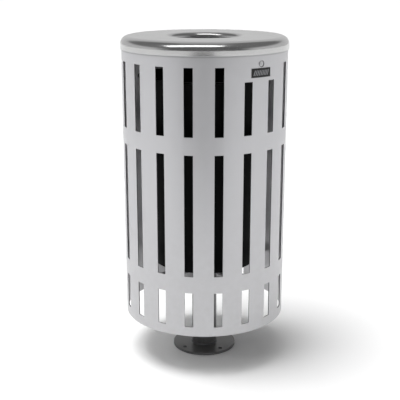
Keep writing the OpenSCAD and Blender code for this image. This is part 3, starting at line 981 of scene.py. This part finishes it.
@dataclass(frozen=True)
class Softbox:
    """A rectangular soft lamp.

    Attributes:
        name: The lamp's name.
        size: Its width across the view and its depth along it, in metres.
        place: Metres to the camera's right, away from the camera, and up, from the middle of the bin's foot.
        glow: Its radiance, where the white floor has about 1.
    """

    name: str
    size: tuple[float, float]
    place: tuple[float, float, float]
    glow: float

    def hang(self, heading: Matrix) -> None:
        """Makes the lamp and points it at the bin.

        Args:
            heading: Turns the camera's directions into the scene's.
        """
        data = bpy.data.lights.new(self.name, "AREA")
        data.shape = "RECTANGLE"
        data.size, data.size_y = self.size
        data.energy = self.glow * pi * self.size[0] * self.size[1]
        lamp = linked(self.name, data)
        lamp.location = heading @ Vector(self.place)
        away = Vector(self.place) - Vector((0.0, 0.0, AIM_HEIGHT))
        across = SIDEWAYS - away * (away.x / away.length_squared)
        across.normalize()
        back = away.normalized()
        axes = Matrix((across, back.cross(across), back)).transposed()
        lamp.rotation_euler = (heading @ axes).to_euler()


@dataclass
class Studio:
    """Floor, soft light and camera.

    Attributes:
        heading: Turn of the camera round the bin from straight in front of the lock, in degrees.
        camera_place: The camera before it is turned to its heading, in mm.
        camera_pitch: How far the camera looks down, in degrees.
        lens: Focal length on a sensor SENSOR_MM wide, in mm.
        wall: Radiance of the studio's walls near the floor, and of the whole wall across from the camera.
        upper_wall: Radiance of the other walls higher up.
        ceiling: Radiance of its ceiling.
        dark_side: Radiance of the unlit side behind the camera.
        flag_glow: Radiance of the grey cloth on the camera's side of the floor.
        flag_place: Middle of the cloth: to the camera's right, away from the camera, and up, in metres.
        flag_half: Half its width across the view and half its depth, in metres.
        wall_rise: Sines of the elevations between which the lower walls turn into the upper ones.
        ceiling_rise: Sines of the elevations between which the walls turn into the ceiling.
        far_turn: Cosines of the angles off straight ahead between which the side walls brighten.
        dark_turn: Cosines of the angles off straight back between which the surround darkens.
        backdrop: Radiance of the plain pale ground behind the floor, which the metal doesn't reflect.
        lamps: The softboxes, which show in the metal.
        skylight: Irradiance of the wide light from above, which evens out the floor.
        skylight_spread: How wide that light looks, in degrees.
        skylight_place: Where it comes from: to the camera's right, away from the camera, and up.
    """

    heading: float = -39.2
    camera_place: tuple[float, float, float] = (-13.5, -2482.8, 1157.3)
    camera_pitch: float = 15.515
    lens: float = 76.53
    wall: float = 0.68
    upper_wall: float = 0.21
    ceiling: float = 0.3
    dark_side: float = 0.15
    flag_glow: float = 0.3
    flag_place: tuple[float, float, float] = (-0.3, -7.6, 0.004)
    flag_half: tuple[float, float] = (1.9, 5.3)
    wall_rise: tuple[float, float] = (0.28, 0.42)
    ceiling_rise: tuple[float, float] = (0.92, 0.97)
    far_turn: tuple[float, float] = (0.72, 0.9)
    dark_turn: tuple[float, float] = (0.25, 0.7)
    backdrop: float = 1.0
    lamps: tuple[Softbox, ...] = (Softbox("overhead", (4.6, 1.1), (-0.85, -1.9, 4.5), 3.6),)
    skylight: float = 2.5
    skylight_spread: float = 32.0
    skylight_place: tuple[float, float, float] = (-0.28, 0.0, 1.0)

    def build(self) -> None:
        """Makes the camera, the floor, the surround and the lamps."""
        self._camera()
        self._floor()
        self._flag()
        self._surround()
        self._skylight()
        for lamp in self.lamps:
            lamp.hang(self.turned)
        bpy.context.scene.view_settings.view_transform = "Standard"

    @property
    def turned(self) -> Matrix:
        """Turns the camera's directions into the scene's."""
        return Matrix.Rotation(radians(self.heading), 3, "Z")

    def _camera(self) -> None:
        """Sets the camera at its heading."""
        data = bpy.data.cameras.new("camera")
        data.lens = self.lens
        data.sensor_width = SENSOR_MM
        camera = linked("camera", data)
        camera.location = self.turned @ (Vector(self.camera_place) * MM)
        camera.rotation_euler = Euler((radians(90 - self.camera_pitch), 0.0, radians(self.heading)))
        bpy.context.scene.camera = camera

    @staticmethod
    def _sheet(name: str, matrix: Matrix, settings: dict) -> Object:
        """Makes a flat staged sheet of the studio.

        Args:
            name: Its name.
            matrix: Takes a square from -1 to 1 to its place.
            settings: What its shader is set to.

        Returns:
            The sheet.
        """
        mesh = bmesh.new()
        bmesh.ops.create_grid(mesh, x_segments=1, y_segments=1, size=1.0, matrix=matrix)
        data = bpy.data.meshes.new(name)
        mesh.to_mesh(data)
        mesh.free()
        material = bpy.data.materials.new(name + "_finish")
        tree = emptied_tree(material)
        shader = add_node(tree, "ShaderNodeBsdfPrincipled", settings)
        add_node(tree, "ShaderNodeOutputMaterial", {}, {"Surface": shader.outputs["BSDF"]})
        data.materials.append(material)
        sheet = linked(name, data)
        return sheet

    def _floor(self) -> None:
        """Makes the plain pale floor."""
        self._sheet("floor", Matrix.Diagonal((FLOOR_HALF, FLOOR_HALF, 1.0, 1.0)),
                    {"Base Color": linear("FAFAFA"), "Roughness": 0.9, "Specular IOR Level": 0.1})

    def _flag(self) -> None:
        """Lays the grey cloth that only reflections show, on the camera's side of the floor."""
        place = (self.turned.to_4x4() @ Matrix.Translation(self.flag_place)
                 @ Matrix.Diagonal((*self.flag_half, 1.0, 1.0)))
        flag = self._sheet("flag", place, {"Base Color": (0.0, 0.0, 0.0, 1.0), "Roughness": 1.0,
                                           "Specular IOR Level": 0.0, "Emission Color": WHITE,
                                           "Emission Strength": self.flag_glow})
        flag.visible_camera = flag.visible_diffuse = flag.visible_shadow = flag.visible_transmission = False

    def _skylight(self) -> None:
        """Adds the wide light from above, which leaves no highlight in the metal."""
        data = bpy.data.lights.new("skylight", "SUN")
        data.energy = self.skylight
        data.angle = radians(self.skylight_spread)
        lamp = linked("skylight", data)
        lamp.rotation_euler = (self.turned @ Vector(self.skylight_place)).to_track_quat("Z", "Y").to_euler()
        lamp.visible_glossy = False

    @staticmethod
    def _blend(tree: NodeTree, by: NodeSocket, between: tuple[float, float],
               low: "float | NodeSocket", high: "float | NodeSocket") -> NodeSocket:
        """Blends two radiances.

        Args:
            tree: The node tree.
            by: What decides.
            between: Its values where the blend starts and ends.
            low: The radiance up to the first value.
            high: The radiance from the second value on.

        Returns:
            The blended radiance.
        """
        part = add_node(tree, "ShaderNodeMapRange",
                        {"interpolation_type": "SMOOTHSTEP", "From Min": between[0], "From Max": between[1]},
                        {"Value": by})
        ends = {NUMBER_A: low, NUMBER_B: high}
        fixed = {key: end for key, end in ends.items() if isinstance(end, float)}
        fed = {key: end for key, end in ends.items() if not isinstance(end, float)}
        return add_node(tree, "ShaderNodeMix", {"data_type": "FLOAT", **fixed},
                        {0: part.outputs["Result"], **fed}).outputs[NUMBER_OUT]

    def _surround(self) -> None:
        """Makes the surround: pale walls, a dimmer ceiling and a dark side behind the camera.

        The camera itself sees only the plain backdrop; the rest is for light and reflections.
        """
        world = bpy.data.worlds.new("studio")
        bpy.context.scene.world = world
        tree = emptied_tree(world)
        towards = add_node(tree, "ShaderNodeTexCoord").outputs["Generated"]
        height = add_node(tree, "ShaderNodeSeparateXYZ", {}, {"Vector": towards}).outputs["Z"]
        rise = add_node(tree, "ShaderNodeMath", {"operation": "ARCSINE"}, {0: height}).outputs[0]
        flat = add_node(tree, "ShaderNodeMath", {"operation": "COSINE"}, {0: rise}).outputs[0]
        ahead, back = (
            add_node(tree, "ShaderNodeVectorMath",
                     {"operation": "DOT_PRODUCT", 1: self.turned @ Vector((0, way, 0))},
                     {0: towards}).outputs["Value"] for way in (1, -1))
        across = add_node(tree, "ShaderNodeMath", {"operation": "DIVIDE"}, {0: ahead, 1: flat}).outputs[0]
        side = self._blend(tree, across, self.far_turn, self.upper_wall, self.wall)
        walls = self._blend(tree, height, self.wall_rise, self.wall, side)
        upper = self._blend(tree, height, self.ceiling_rise, walls, self.ceiling)
        glow = self._blend(tree, back, self.dark_turn, upper, self.dark_side)
        seen = add_node(tree, "ShaderNodeLightPath").outputs["Is Camera Ray"]
        shown = self._blend(tree, seen, (0.0, 1.0), glow, self.backdrop)
        light = add_node(tree, "ShaderNodeBackground", {"Color": WHITE}, {"Strength": shown})
        add_node(tree, "ShaderNodeOutputWorld", {}, {"Surface": light.outputs["Background"]})


# ---- building ----------------------------------------------------------------------------------------


def main() -> None:
    """Builds the studio and every sub-assembly."""
    Studio().build()
    for assembly in (Pedestal(), SlottedBody(), TopFittings(), Lid(), Lock(), NamePlate(), Liner()):
        assembly.build()
        LOG.info("%s built", type(assembly).__name__)


if __name__ == "__main__":
    main()
